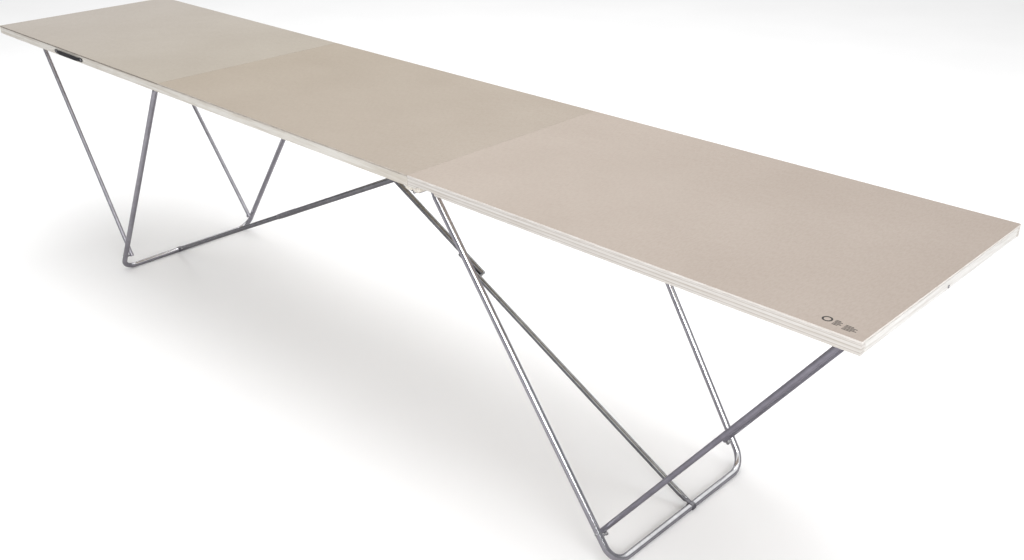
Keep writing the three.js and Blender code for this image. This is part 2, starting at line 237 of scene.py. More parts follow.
def zinc(name, pale, dark, smoothest, roughest):
    """Zinc plating: faint cloudy spangle, dull patches and fine unevenness."""
    paint = Paint(name, roughness=smoothest, metallic=1.0)
    spangle = paint.ramp(paint.noise(55, 4), [(0.3, dark), (0.65, pale)])
    stains = paint.ramp(paint.noise(14, 5), [(0.3, (0.78, 0.77, 0.78)), (0.55, WHITE)])
    paint.colour(paint.shaded(spangle, stains, 0.7))
    paint.roughness(paint.noise(120, 4), smoothest, roughest)
    paint.bump(paint.noise(350, 3), 0.02 * MM)
    return paint.material


def moulded_plastic(name):
    """Black moulded plastic with a fine leathery grain and rubbed patches."""
    paint = Paint(name, roughness=0.45)
    blacks = [(0.35, (0.012, 0.012, 0.013)), (0.75, (0.035, 0.035, 0.037))]
    paint.colour(paint.ramp(paint.noise(45, 4), blacks))
    paint.roughness(paint.noise(90, 3), 0.36, 0.58)
    paint.bump(paint.noise(1300, 3), 0.25 * MM)
    return paint.material


def mix_shaders(tree, share, first, second):
    """A shader that turns from the first one into the second as the share goes from 0 to 1."""
    node = tree.nodes.new("ShaderNodeMixShader")
    tree.links.new(share, node.inputs["Fac"])
    tree.links.new(first, node.inputs[1])
    tree.links.new(second, node.inputs[2])
    return node.outputs["Shader"]


def studio_floor(name):
    """The plain pale floor. Metal mirrors it as if it were darker, and it can't be seen from below."""
    paint = Paint(name, roughness=0.9)
    paint.colour(paint.ramp(paint.noise(2, 2), [(0.3, (0.94, 0.94, 0.94)), (0.7, (0.96, 0.96, 0.96))]))
    mirrored = paint.nodes.new("ShaderNodeBsdfDiffuse")
    mirrored.inputs["Color"].default_value = (0.32, 0.31, 0.335, 1)
    rays = paint.nodes.new("ShaderNodeLightPath")
    side = paint.nodes.new("ShaderNodeNewGeometry")
    clear = paint.nodes.new("ShaderNodeBsdfTransparent")
    tree = paint.material.node_tree
    above = mix_shaders(tree, rays.outputs["Is Glossy Ray"], paint.shader.outputs["BSDF"],
                        mirrored.outputs["BSDF"])
    one_way = mix_shaders(tree, side.outputs["Backfacing"], above, clear.outputs["BSDF"])
    tree.links.new(one_way, paint.nodes["Material Output"].inputs["Surface"])
    return paint.material


BOARDS = {
    "left": fibreboard("board_left", "left", (0.4, 0.364, 0.325), (0.36, 0.322, 0.27)),
    "middle": fibreboard("board_middle", "middle", (0.34, 0.291, 0.233), (0.345, 0.296, 0.247)),
    "right": fibreboard("board_right", "right", (0.375, 0.32, 0.275), (0.336, 0.285, 0.248)),
}
# One sawn edge material in three tones, darker towards the left end: painted shade. The left sheet's dark
# edge is a painted shadow, standing in for the shadow line along its top edge.
BOARD_EDGES_WITH_PAINTED_SHADE = {
    "left": sawn_edge("board_edge_left_painted_shadow", (0.3, 0.265, 0.23), (0.19, 0.165, 0.14)),
    "middle": sawn_edge("board_edge_middle", (0.46, 0.42, 0.375), (0.33, 0.29, 0.25)),
    "right": sawn_edge("board_edge_right", (0.68, 0.65, 0.62), (0.58, 0.54, 0.5)),
}
RAIL_WOOD = softwood("rail_wood", "X", (0.65, 0.63, 0.595), (0.55, 0.515, 0.465))
CROSS_WOOD = softwood("cross_rail_wood", "Y", (0.74, 0.71, 0.66), (0.62, 0.57, 0.5))
# The right end's outer cross rail has its own copy of the cross-rail wood, greyer and less yellow: painted
# light, standing in for how that end face washes out under the right lamp.
LIGHT_WASHED_END_WOOD = softwood("end_rail_wood_painted_light", "Y", (0.7, 0.69, 0.675), (0.58, 0.56, 0.535))
LAYERED_WOOD = layered_wood("layered_wood")
BRIGHT_ZINC = zinc("bright_zinc_tube", (0.84, 0.84, 0.86), (0.74, 0.74, 0.76), 0.12, 0.2)
DULL_ZINC = zinc("dull_zinc_tube", (0.58, 0.57, 0.62), (0.49, 0.48, 0.525), 0.28, 0.4)
GREY_ZINC = zinc("grey_zinc_tube", (0.5, 0.505, 0.505), (0.4, 0.405, 0.405), 0.18, 0.28)
DARK_PLATE = zinc("dark_plate", (0.36, 0.355, 0.38), (0.24, 0.235, 0.255), 0.3, 0.45)
PALE_PLATE = zinc("pale_plate", (0.66, 0.66, 0.66), (0.5, 0.5, 0.5), 0.25, 0.42)
BLACK_PLASTIC = moulded_plastic("black_plastic")
STAMP_INK = stamp_ink("stamp_ink")


# ---------------------------------------------------------------- mesh tools

def finish_piece(name, mesh_builder, material, body, replaced=(), sharp_angle=ROUND_FACES):
    """Turns a finished bmesh into a piece that rides on a body and stands for some CAD nodes."""
    bmesh.ops.recalc_face_normals(mesh_builder, faces=mesh_builder.faces)
    mesh = bpy.data.meshes.new(name)
    mesh_builder.to_mesh(mesh)
    mesh_builder.free()
    mesh.materials.append(material)
    mesh.shade_smooth()
    mesh.set_sharp_from_angle(angle=math.radians(sharp_angle))
    piece = bpy.data.objects.new(name, mesh)
    bpy.context.scene.collection.objects.link(piece)
    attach(piece, body)
    if replaced:
        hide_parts(*replaced)
    return piece


def join_rings(builder, rings):
    """Skins a run of rings and closes both ends."""
    for before, after in zip(rings, rings[1:]):
        count = len(before)
        for i in range(count):
            builder.faces.new((before[i], before[(i + 1) % count], after[(i + 1) % count], after[i]))
    builder.faces.new(list(reversed(rings[0])))
    builder.faces.new(rings[-1])


def add_swept(builder, stations, normal, sides=20):
    """Sweeps an ellipse through (centre, tangent, half size along the normal, half size across) stations."""
    rings = []
    for centre, tangent, tall, wide in stations:
        across = tangent.cross(normal).normalized()
        ring = []
        for i in range(sides):
            angle = 2 * math.pi * i / sides
            offset = normal * (tall * math.cos(angle)) + across * (wide * math.sin(angle))
            ring.append(builder.verts.new(centre + offset))
        rings.append(ring)
    join_rings(builder, rings)


def add_turned(builder, origin, axis, profile, sides=20):
    """Adds a turned form from (distance along the axis, radius) pairs."""
    axis = axis.normalized()
    first = axis.orthogonal().normalized()
    second = axis.cross(first)
    rings = []
    for distance, radius in profile:
        ring = []
        for i in range(sides):
            angle = 2 * math.pi * i / sides
            spoke = first * math.cos(angle) + second * math.sin(angle)
            ring.append(builder.verts.new(origin + axis * distance + spoke * radius))
        rings.append(ring)
    join_rings(builder, rings)


def add_dome(builder, origin, axis, radius, height, sides=18):
    """Adds a rivet's domed head that stands on a surface at the origin."""
    steps = 5
    sunk = 0.4 * height
    profile = [(-sunk, 0.98 * radius)]
    for i in range(steps):
        angle = 0.5 * math.pi * i / steps
        profile.append((height * math.sin(angle), radius * math.cos(angle)))
    profile.append((height, 0.12 * radius))
    add_turned(builder, origin, axis, profile, sides)


def add_screw(builder, origin, axis, radius):
    """Adds a countersunk screw's head with its drive recess, just proud of a surface."""
    rim = 0.18 * radius
    profile = [
        (-rim, 0.9 * radius), (rim, radius), (1.6 * rim, 0.92 * radius), (1.7 * rim, 0.5 * radius),
        (0.2 * rim, 0.3 * radius),
    ]
    add_turned(builder, origin, axis, profile, 16)


def add_bolt(builder, start, end, radius):
    """Adds a pivot bolt with a domed head at its start and a hexagonal nut at its end."""
    axis = (end - start).normalized()
    length = (end - start).length
    chamfer = 0.2 * radius
    tip = length + 0.5 * radius
    add_turned(builder, start, axis, [(-chamfer, radius), (tip - chamfer, radius), (tip, 0.8 * radius)], 16)
    add_dome(builder, start, -axis, 1.9 * radius, 1.1 * radius)
    nut_height = 1.2 * radius
    nut_radius = 1.75 * radius
    nut = [(-nut_height, nut_radius), (-0.1 * nut_height, nut_radius), (0, 1.55 * radius)]
    add_turned(builder, end, axis, nut, 6)


def add_outline(builder, outline, axes, depth, ease):
    """Extrudes an outline of 2-D places. axes are the origin, its two directions and the extrusion's."""
    origin, first, second, along = axes
    corners = [builder.verts.new(origin + first * a + second * b) for a, b in outline]
    face = builder.faces.new(corners)
    grown = bmesh.ops.extrude_face_region(builder, geom=[face])["geom"]
    moved = [item for item in grown if isinstance(item, bmesh.types.BMVert)]
    bmesh.ops.translate(builder, vec=along * depth, verts=moved)
    if ease:
        edges = {edge for vert in corners + moved for edge in vert.link_edges}
        bmesh.ops.bevel(builder, geom=list(edges), offset=ease, segments=2, profile=0.6,
                        affect="EDGES", clamp_overlap=True)


def add_block(builder, low, high, ease):
    """Adds a block with eased edges between two corners."""
    size = high - low
    outline = [(0, 0), (size.x, 0), (size.x, size.y), (0, size.y)]
    add_outline(builder, outline, (low, X_AXIS, ACROSS, UP), size.z, ease)


def rounded_outline(width, height, radius, steps=5):
    """A rectangle from (-width/2, 0) up to height, with its two lower corners rounded."""
    half = width / 2
    places = [(half, height), (-half, height)]
    for centre_x, start in ((-half + radius, math.pi), (half - radius, 1.5 * math.pi)):
        for i in range(steps + 1):
            angle = start + 0.5 * math.pi * i / steps
            places.append((centre_x + radius * math.cos(angle), radius + radius * math.sin(angle)))
    return places


def average(points):
    return sum(points, Vector()) / len(points)


def distinct_points(node):
    """A CAD node's corners, each once."""
    places = {tuple(round(c, 6) for c in vert.co) for vert in NODES[node].data.vertices}
    return [Vector(place) for place in places]


def bar_ends(node):
    """The centres of a straight bar's ends, the upper one first."""
    low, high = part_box(node)
    middle = (low.z + high.z) / 2
    points = distinct_points(node)
    return average([p for p in points if p.z > middle]), average([p for p in points if p.z <= middle])


def end_radius(node):
    """The radius of a straight bar, from the corners round its upper end."""
    top, _ = bar_ends(node)
    return min((p - top).length for p in distinct_points(node))


def joint_place(name):
    return Vector(JOINTS[name]["pos_m"])


# ---------------------------------------------------------------- tubes

def eased(share):
    """A share from 0 to 1 that starts and ends gently."""
    return share * share * (3 - 2 * share)


def flattened_stations(tip, tangent, radius, flat_length, inward):
    """Stations of a tube's hammered-flat, rounded end. inward is -1 for a run's start and +1 for its end."""
    tall = 1.14 * radius
    thin = 0.42 * radius
    bluntness = 0.25
    stations = [(0, bluntness * tall, 0.7 * thin)]
    rounding_steps = 6
    for i in range(1, rounding_steps + 1):
        rise = math.sin(0.5 * math.pi * i / rounding_steps)
        stations.append((tall * rise, tall * max(rise, bluntness), thin))
    fade_steps = 8
    for i in range(1, fade_steps + 1):
        share = i / fade_steps
        distance = tall + flat_length * (0.5 + share)
        half_tall = tall + (radius - tall) * eased(share)
        half_wide = thin + (radius - thin) * eased(share)
        stations.append((distance, half_tall, half_wide))
    made = []
    for distance, half_tall, half_wide in stations:
        made.append((tip - tangent * (inward * distance), tangent, half_tall, half_wide))
    return made if inward < 0 else list(reversed(made))


def open_end_stations(end, tangent, radius, inward):
    """Stations of a tube's open, square-cut end, with its bore."""
    bore = radius - TUBE_WALL
    bore_depth = 18 * MM
    rim = 0.3 * MM
    steps = [
        (2 * rim, radius), (0.4 * rim, radius - 0.25 * rim), (0, radius - rim), (0, bore + rim), (rim, bore),
        (bore_depth, bore),
    ]
    made = [(end - tangent * (inward * back), tangent, size, size) for back, size in steps]
    return made if inward > 0 else list(reversed(made))


def end_stations(kind, place, tangent, radius, flat_length, inward):
    if kind == "flat":
        return flattened_stations(place, tangent, radius, flat_length, inward)
    return open_end_stations(place, tangent, radius, inward)


def straight_tube(builder, start, end, radius, kinds, flat_length=14 * MM):
    """A straight tube. kinds says how its start and its end are made, each "flat" or "open"."""
    tangent = (end - start).normalized()
    normal = tangent.cross(ACROSS).normalized()
    stations = end_stations(kinds[0], start, tangent, radius, flat_length, -1)
    stations += end_stations(kinds[1], end, tangent, radius, flat_length, 1)
    add_swept(builder, stations, normal)


def bend_places(before, corner, after, radius, steps=14):
    """Places and tangents round a bend at a corner."""
    back = (before - corner).normalized()
    ahead = (after - corner).normalized()
    half_angle = back.angle(ahead) / 2
    centre = corner + (back + ahead).normalized() * (radius / math.sin(half_angle))
    start = corner + back * (radius / math.tan(half_angle)) - centre
    normal = back.cross(ahead).normalized()
    turn = -(math.pi - 2 * half_angle)
    made = []
    for i in range(steps + 1):
        spin = Matrix.Rotation(turn * i / steps, 4, normal)
        made.append((centre + spin @ start, (spin @ -back).normalized()))
    return made


def leg_places(side_name):
    """The centre line's corners of a leg frame: front pivot, front foot, back foot, back pivot."""
    pivot = joint_place(f"{side_name}_leg_fold")
    foot = joint_place(f"{side_name}_lower_brace_fold")
    top_zone = 20 * MM
    near_top = [p for p in distinct_points(f"{side_name}_leg_frame") if p.z > pivot.z - top_zone]
    pivot_y = {}
    for row_name, sign in ROWS.items():
        pivot_y[row_name] = average([p for p in near_top if sign * (p.y - CENTRE_Y) > 0]).y
    inset = HALF_DEPTH - FOOT_CORNER_INSET
    return [
        Vector((pivot.x, pivot_y["front"], pivot.z)),
        Vector((foot.x, CENTRE_Y - inset, foot.z)),
        Vector((foot.x, CENTRE_Y + inset, foot.z)),
        Vector((pivot.x, pivot_y["back"], pivot.z)),
    ]


def leg_radius(side_name):
    return joint_place(f"{side_name}_lower_brace_fold").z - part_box(f"{side_name}_leg_frame")[0].z


def make_leg(side_name):
    """A leg frame: one tube bent into a tapered U, its ends flattened for the pivots."""
    corners = leg_places(side_name)
    radius = leg_radius(side_name)
    down = (corners[1] - corners[0]).normalized()
    rise = (corners[3] - corners[2]).normalized()
    normal = down.cross(corners[2] - corners[1]).normalized()
    past_pivot = 1.1 * radius
    flat_length = 16 * MM
    stations = flattened_stations(corners[0] - down * past_pivot, down, radius, flat_length, -1)
    for first in (0, 1):
        for centre, tangent in bend_places(*corners[first:first + 3], FOOT_BEND_RADIUS):
            stations.append((centre, tangent, radius, radius))
    stations += flattened_stations(corners[3] + rise * past_pivot, rise, radius, flat_length, 1)
    builder = bmesh.new()
    add_swept(builder, stations, normal, 24)
    finish_piece(f"{side_name}_leg_tube", builder, BRIGHT_ZINC, f"{side_name}_leg",
                 [f"{side_name}_leg_frame"], sharp_angle=60)


def make_strut(side_name, row_name):
    """A strut: flattened at its pivot and cut square where it runs just past the leg."""
    node = f"{side_name}_{row_name}_strut"
    top, foot = bar_ends(node)
    radius = end_radius(node)
    along = (foot - top).normalized()
    overrun = 9 * MM
    builder = bmesh.new()
    straight_tube(builder, top - along * radius, foot + along * overrun, radius, ("flat", "open"))
    finish_piece(f"{side_name}_{row_name}_strut_tube", builder, DULL_ZINC, f"{side_name}_struts",
                 [node], sharp_angle=50)


def leg_crossing(side_name, row_name):
    """Where a leg's centre line passes the foot of its strut."""
    leg_top, leg_foot = leg_places(side_name)[0:2]
    _, strut_foot = bar_ends(f"{side_name}_{row_name}_strut")
    share = (leg_top.z - strut_foot.z) / (leg_top.z - leg_foot.z)
    return leg_top.lerp(leg_foot, share)


def make_catch(side_name, row_name):
    """A strut's catch: a shouldered stud through the leg, with its rivet head on the leg's outer side."""
    node = f"{side_name}_{row_name}_strut_catch"
    low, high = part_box(node)
    sign = ROWS[row_name]
    centre = (low + high) / 2
    radius = (high.z - low.z) / 2
    length = high.y - low.y
    inward = ACROSS * -sign
    outer = Vector((centre.x, high.y if sign > 0 else low.y, centre.z))
    inside_leg = 3 * radius
    head = 1.5 * radius
    head_radius = 1.7 * radius
    profile = [
        (-inside_leg, radius), (length - head, radius), (length - head, head_radius),
        (length - 0.3 * head, head_radius), (length, 1.1 * radius),
    ]
    builder = bmesh.new()
    add_turned(builder, outer, inward, profile)
    crossing = leg_crossing(side_name, row_name)
    sunk = 0.3 * MM
    from_middle = abs(crossing.y - CENTRE_Y) + leg_radius(side_name) - sunk
    rivet = Vector((crossing.x, CENTRE_Y + sign * from_middle, crossing.z))
    add_dome(builder, rivet, -inward, 1.3 * radius, 0.6 * radius)
    finish_piece(f"{side_name}_{row_name}_catch_stud", builder, PALE_PLATE, f"{side_name}_leg",
                 [node])


def make_brace(side_name):
    """A brace's two tubes: the upper one wider, the lower one flattened into its foot clip."""
    upper = f"{side_name}_brace_upper"
    lower = f"{side_name}_brace_lower"
    upper_top, upper_end = bar_ends(upper)
    lower_start, lower_end = bar_ends(lower)
    radius = end_radius(upper)
    along = (upper_end - upper_top).normalized()
    builder = bmesh.new()
    straight_tube(builder, upper_top - along * radius, upper_end, radius, ("flat", "open"), 10 * MM)
    finish_piece(f"{upper}_tube", builder, GREY_ZINC, f"{side_name}_upper_brace", [upper],
                 sharp_angle=50)
    builder = bmesh.new()
    straight_tube(builder, lower_start, lower_end, end_radius(lower), ("open", "flat"), 12 * MM)
    finish_piece(f"{lower}_tube", builder, GREY_ZINC, f"{side_name}_lower_brace", [lower],
                 sharp_angle=50)


# ---------------------------------------------------------------- brace fittings

def upward_normal(along):
    """The direction square to a brace, in the plane that it folds in, that points up."""
    normal = along.cross(ACROSS).normalized()
    return normal if normal.z > 0 else -normal


def make_clasp(side_name):
    """The clasp: an upright web between the brace's two halves, with lips that hug the upper tube."""
    node = f"{side_name}_brace_clasp"
    points = distinct_points(node)
    centre = average(points)
    top, end = bar_ends(f"{side_name}_brace_upper")
    along = (end - top).normalized()
    normal = upward_normal(along)
    reach = [(p - centre).dot(along) for p in points]
    rise = [(p - centre).dot(normal) for p in points]
    length = max(reach) - min(reach)
    low, high = min(rise), max(rise)
    towards_tube = 1 if (end - centre).y > 0 else -1
    web = max(abs(p.y - centre.y) for p in points)
    lip = 0.3 * end_radius(f"{side_name}_brace_upper")
    wall = 0.9 * MM
    outline = [
        (-web, low), (lip, low), (lip, low + wall), (web, low + wall),
        (web, high - wall), (lip, high - wall), (lip, high), (-web, high),
    ]
    origin = centre - along * (length / 2)
    builder = bmesh.new()
    add_outline(builder, outline, (origin, ACROSS * towards_tube, normal, along), length, 0.5 * MM)
    outward = ACROSS * -towards_tube
    rivet_share = 0.36
    for share in (-rivet_share, rivet_share):
        add_dome(builder, centre + along * (length * share) + outward * web, outward, 2.6 * MM, 0.9 * MM)
    finish_piece(f"{side_name}_clasp_channel", builder, DARK_PLATE, f"{side_name}_upper_brace",
                 [node])


def split_ring(bore, outer, mouth, steps=28):
    """The outline of a ring that is open below. mouth is half the opening's angle."""
    angles = [-0.5 * math.pi + mouth + (2 * math.pi - 2 * mouth) * i / steps for i in range(steps + 1)]
    outline = [(outer * math.cos(a), outer * math.sin(a)) for a in angles]
    outline += [(bore * math.cos(a), bore * math.sin(a)) for a in reversed(angles)]
    return outline


def make_foot_clip(side_name):
    """The clip at a brace's foot: a sprung split ring on the foot bar with a tongue up the tube."""
    node = f"{side_name}_brace_clip"
    low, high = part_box(node)
    centre = joint_place(f"{side_name}_lower_brace_fold")
    bore = leg_radius(side_name) + 0.2 * MM
    ring_wall = 1.6 * MM
    ring_width = 0.62 * (high.y - low.y)
    origin = Vector((centre.x, (low.y + high.y - ring_width) / 2, centre.z))
    outline = split_ring(bore, bore + ring_wall, math.radians(50))
    ease = 0.4 * MM
    builder = bmesh.new()
    add_outline(builder, outline, (origin, X_AXIS, UP, ACROSS), ring_width, ease)
    start, end = bar_ends(f"{side_name}_brace_lower")
    tube = end_radius(f"{side_name}_brace_lower")
    back = (start - end).normalized()
    normal = upward_normal(back)
    tongue_length = 34 * MM
    tongue_wall = 1.8 * MM
    overhang = 4 * MM
    half = 0.9 * tube
    outline = [(-half, 0), (half, 0), (half, tongue_wall), (-half, tongue_wall)]
    from_ring = end - back * overhang + normal * (0.42 * tube)
    add_outline(builder, outline, (from_ring, ACROSS, normal, back), tongue_length, ease)
    rivet = from_ring + back * (0.3 * tongue_length) + normal * tongue_wall
    add_dome(builder, rivet, normal, 3 * MM, 1.4 * MM)
    finish_piece(f"{side_name}_foot_clip", builder, DARK_PLATE, f"{side_name}_lower_brace",
                 [node])


# ---------------------------------------------------------------- brackets

def make_ear(name, node, pivot, tube_y, body, flange_reach, screws):
    """A pressed bracket: an ear beside a tube's flattened end, a flange under the sheet and a bolt."""
    low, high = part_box(node)
    width = high.x - low.x
    height = UNDERSIDE - low.z
    ease = 0.4 * MM
    away = 1 if (low.y + high.y) / 2 > tube_y else -1
    inner_y = low.y if away > 0 else high.y
    outer_y = inner_y + away * PLATE
    builder = bmesh.new()
    origin = Vector(((low.x + high.x) / 2, inner_y, low.z))
    outline = rounded_outline(width, height, 0.42 * min(width, height))
    add_outline(builder, outline, (origin, X_AXIS, UP, ACROSS * away), PLATE, ease)
    flange_y = sorted((inner_y + away * 0.3 * PLATE, outer_y + away * flange_reach))
    flange_low = Vector((low.x, flange_y[0], UNDERSIDE - PLATE))
    flange_high = Vector((high.x, flange_y[1], UNDERSIDE))
    add_block(builder, flange_low, flange_high, ease)
    for i in range(screws):
        share = (i + 1) / (screws + 1)
        screw_y = outer_y + away * 0.55 * flange_reach
        add_screw(builder, Vector((low.x + width * share, screw_y, UNDERSIDE - PLATE)), -UP, 3 * MM)
    head = Vector((pivot.x, tube_y - away * BOLT_HEAD_FROM_TUBE, pivot.z))
    tail = Vector((pivot.x, outer_y + away * NUT_FROM_EAR, pivot.z))
    add_bolt(builder, head, tail, BOLT_RADIUS)
    finish_piece(name, builder, PALE_PLATE, body, [node])


def make_leg_bracket(side_name, row_name):
    pivot = joint_place(f"{side_name}_leg_fold")
    corner = 0 if row_name == "front" else 3
    make_ear(f"{side_name}_{row_name}_leg_ear", f"{side_name}_{row_name}_leg_bracket", pivot,
             leg_places(side_name)[corner].y, f"{side_name}_section", 13 * MM, 2)


def make_strut_bracket(side_name, row_name):
    top, _ = bar_ends(f"{side_name}_{row_name}_strut")
    make_ear(f"{side_name}_{row_name}_strut_ear", f"{side_name}_{row_name}_strut_bracket", top, top.y,
             f"{side_name}_section", 12 * MM, 1)


def make_brace_bracket(side_name):
    top, _ = bar_ends(f"{side_name}_brace_upper")
    make_ear(f"{side_name}_brace_ear", f"{side_name}_brace_bracket", top, top.y, "middle_section", 14 * MM, 1)


# ---------------------------------------------------------------- hinges

def add_knuckle(builder, start, length, barrel, direction, leaf_top, thickness, tab):
    """Adds a knuckle round the pin's line and the tab that joins it to its leaf."""
    rim = 0.3 * MM
    profile = [(0, barrel - rim), (rim, barrel), (length - rim, barrel), (length, barrel - rim)]
    add_turned(builder, start, ACROSS, profile, 24)
    corner = Vector((start.x, start.y, leaf_top - thickness))
    outline = [(0, 0), (tab, 0), (tab, thickness), (0, thickness)]
    add_outline(builder, outline, (corner, X_AXIS * direction, UP, ACROSS), length, 0)


def add_pin_heads(builder, pivot, middle_y, length):
    """Adds the pin's two heads, just past a hinge's knuckles."""
    neck, radius = 1.2 * MM, 1.9 * MM
    inside, outside = 0.5 * MM, 0.9 * MM
    past = 0.6 * MM
    for sign in (-1, 1):
        place = Vector((pivot.x, middle_y + sign * (length / 2 + past), pivot.z))
        add_turned(builder, place, ACROSS * -sign, [(-inside, neck), (0, radius), (outside, radius)], 16)


def make_hinge_leaf(seam, row_name, part):
    """A butt hinge's leaf: a plate with rounded corners and screws, and its own knuckles on the pin."""
    node = f"{seam}_seam_{row_name}_hinge_{part}"
    is_middle = part == "middle_leaf"
    low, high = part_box(node)
    pivot = joint_place(f"{seam}_section_fold")
    barrel = pivot.z - low.z
    direction = 1 if high.x - pivot.x > pivot.x - low.x else -1
    full_low, full_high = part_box(f"{seam}_seam_{row_name}_hinge_middle_leaf")
    length = full_high.y - full_low.y
    third = length / 3
    middle_y = (low.y + high.y) / 2
    edge = max(abs(high.x - pivot.x), abs(low.x - pivot.x))
    thickness = 1.5 * MM
    clearance = 0.3 * MM
    inner = barrel + clearance
    outline = rounded_outline(length, edge - inner, 3 * MM)
    outer_edge = Vector((pivot.x + direction * edge, middle_y, high.z - thickness))
    builder = bmesh.new()
    add_outline(builder, outline, (outer_edge, ACROSS, X_AXIS * -direction, UP), thickness, 0.3 * MM)
    for start in (-1.5 * third, 0.5 * third) if is_middle else (-0.5 * third,):
        place = Vector((pivot.x, middle_y + start + clearance, pivot.z))
        tab = inner + 1 * MM
        add_knuckle(builder, place, third - 2 * clearance, barrel, direction, high.z, thickness, tab)
    if is_middle:
        add_pin_heads(builder, pivot, middle_y, length)
    for share in (-0.36, 0, 0.36):
        screw_x = pivot.x + direction * (inner + edge) / 2
        place = Vector((screw_x, middle_y + share * length, high.z - thickness))
        add_screw(builder, place, -UP, 2.6 * MM)
    body = "middle_section" if is_middle else f"{seam}_section"
    finish_piece(f"{seam}_seam_{row_name}_{part}_plate", builder, PALE_PLATE, body, [node])


# ---------------------------------------------------------------- boards, rails and handle

def make_sheet(section):
    """A section's sheet, its edges just broken."""
    node = f"{section}_sheet"
    ease = 0.5 * MM
    builder = bmesh.new()
    add_block(builder, *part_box(node), ease)
    board = finish_piece(f"{section}_top_board", builder, BOARDS[section], f"{section}_section",
                         [node], FLAT_FACES)
    # The sawn edges carry their section's painted shade, darkest on the left sheet.
    board.data.materials.append(BOARD_EDGES_WITH_PAINTED_SHADE[section])
    for face in board.data.polygons:
        face.material_index = 0 if abs(face.normal.z) > 0.5 else 1


def make_long_rail(section, row_name):
    """A long rail with eased edges. The right section's rails are cut away below for the leg's tube."""
    node = f"{section}_{row_name}_rail"
    low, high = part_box(node)
    size = high - low
    ease = 0.9 * MM
    outline = [(0, 0), (size.x, 0), (size.x, size.z), (0, size.z)]
    if section == "right":
        outline[1:1] = notch_outline(low.x, joint_place("right_leg_fold").x)
    builder = bmesh.new()
    add_outline(builder, outline, (low, X_AXIS, UP, ACROSS), size.y, ease)
    wood = LAYERED_WOOD if section == "right" else RAIL_WOOD
    finish_piece(f"{section}_{row_name}_rail_wood", builder, wood, f"{section}_section", [node],
                 FLAT_FACES)


def notch_outline(rail_start, pivot_x):
    """The places round a shallow notch with rounded upper corners, cut for the leg's tube."""
    depth = 5.5 * MM
    half = 29 * MM
    fillet = 4 * MM
    cut = 0.3 * fillet
    past_pivot = 2 * MM
    centre = pivot_x - rail_start + past_pivot
    start = centre - half
    end = centre + half
    return [
        (start, 0), (start + cut, depth - cut), (start + fillet, depth),
        (end - fillet, depth), (end - cut, depth - cut), (end, 0),
    ]


def make_cross_rail(section, end):
    """A cross rail, a copy of the CAD one with eased edges."""
    node = f"{section}_{end}_cross_rail"
    builder = bmesh.new()
    builder.from_mesh(NODES[node].data)
    bmesh.ops.remove_doubles(builder, verts=builder.verts, dist=0.05 * MM)
    bmesh.ops.dissolve_limit(builder, angle_limit=math.radians(2), verts=builder.verts, edges=builder.edges)
    bmesh.ops.bevel(builder, geom=builder.edges[:], offset=0.9 * MM, segments=2, affect="EDGES")
    # The right end's outer cross rail takes the greyer copy: painted light for its lit end face.
    wood = LIGHT_WASHED_END_WOOD if section == end == "right" else CROSS_WOOD
    finish_piece(f"{section}_{end}_cross_rail_wood", builder, wood, f"{section}_section", [node],
                 FLAT_FACES)


def make_lug(section, row_name):
    """A wooden lug under a rail beside the seam, with its lower corners rounded off."""
    node = f"{section}_{row_name}_lug"
    low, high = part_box(node)
    size = high - low
    ease = 0.8 * MM
    bottom_middle = Vector(((low.x + high.x) / 2, low.y, low.z))
    outline = rounded_outline(size.x, size.z, 0.5 * size.z)
    builder = bmesh.new()
    add_outline(builder, outline, (bottom_middle, X_AXIS, UP, ACROSS), size.y, ease)
    finish_piece(f"{section}_{row_name}_lug_wood", builder, CROSS_WOOD, f"{section}_section",
                 [node], 20)


def make_handle():
    """The carrying strap: a moulded grip that bows off the rail between two riveted ends."""
    low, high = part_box("carrying_handle")
    length = high.x - low.x
    proud = high.y - low.y
    middle_z = (low.z + high.z) / 2
    half_width = (high.z - low.z) / 2
    thickness = 1.6 * MM
    ramp = 22 * MM
    rounded_end = 8 * MM
    squareness = 0.45
    steps, sides = 36, 16
    builder = bmesh.new()
    rings = []
    for i in range(steps + 1):
        x = low.x + length * i / steps
        from_end = min(x - low.x, high.x - x)
        bow = eased(min(max((from_end - 0.4 * ramp) / ramp, 0), 1))
        y = high.y - thickness / 2 - (proud - thickness) * bow
        waist = 1 - 0.22 * math.exp(-6 * (from_end / ramp - 1.2) ** 2)
        end_width = min(1, 0.55 + 0.45 * from_end / rounded_end)
        half = half_width * waist * end_width
        ring = []
        for j in range(sides):
            angle = 2 * math.pi * (j + 0.5) / sides
            out, up = (math.copysign(abs(v) ** squareness, v) for v in (math.cos(angle), math.sin(angle)))
            ring.append(builder.verts.new((x, y + out * thickness / 2, middle_z + up * half)))
        rings.append(ring)
    join_rings(builder, rings)
    finish_piece("handle_strap", builder, BLACK_PLASTIC, "left_section", ["carrying_handle"])
    rivet_inset = 9 * MM
    builder = bmesh.new()
    for x in (low.x + rivet_inset, high.x - rivet_inset):
        add_dome(builder, Vector((x, high.y - thickness, middle_z)), -ACROSS, 4.2 * MM, 1.2 * MM)
    finish_piece("handle_rivets", builder, PALE_PLATE, "left_section")


def add_flat_ring(builder, centre, outer, inner, height, steps=24):
    """Adds a flat ring that lies on a level face."""
    loops = []
    for radius, level in ((outer, 0), (outer, height), (inner, height), (inner, 0)):
        loop = []
        for i in range(steps):
            angle = 2 * math.pi * i / steps
            place = Vector((radius * math.cos(angle), radius * math.sin(angle), level))
            loop.append(builder.verts.new(centre + place))
        loops.append(loop)
    for first, second in zip(loops, loops[1:] + loops[:1]):
        for i in range(steps):
            j = (i + 1) % steps
            builder.faces.new((first[i], first[j], second[j], second[i]))


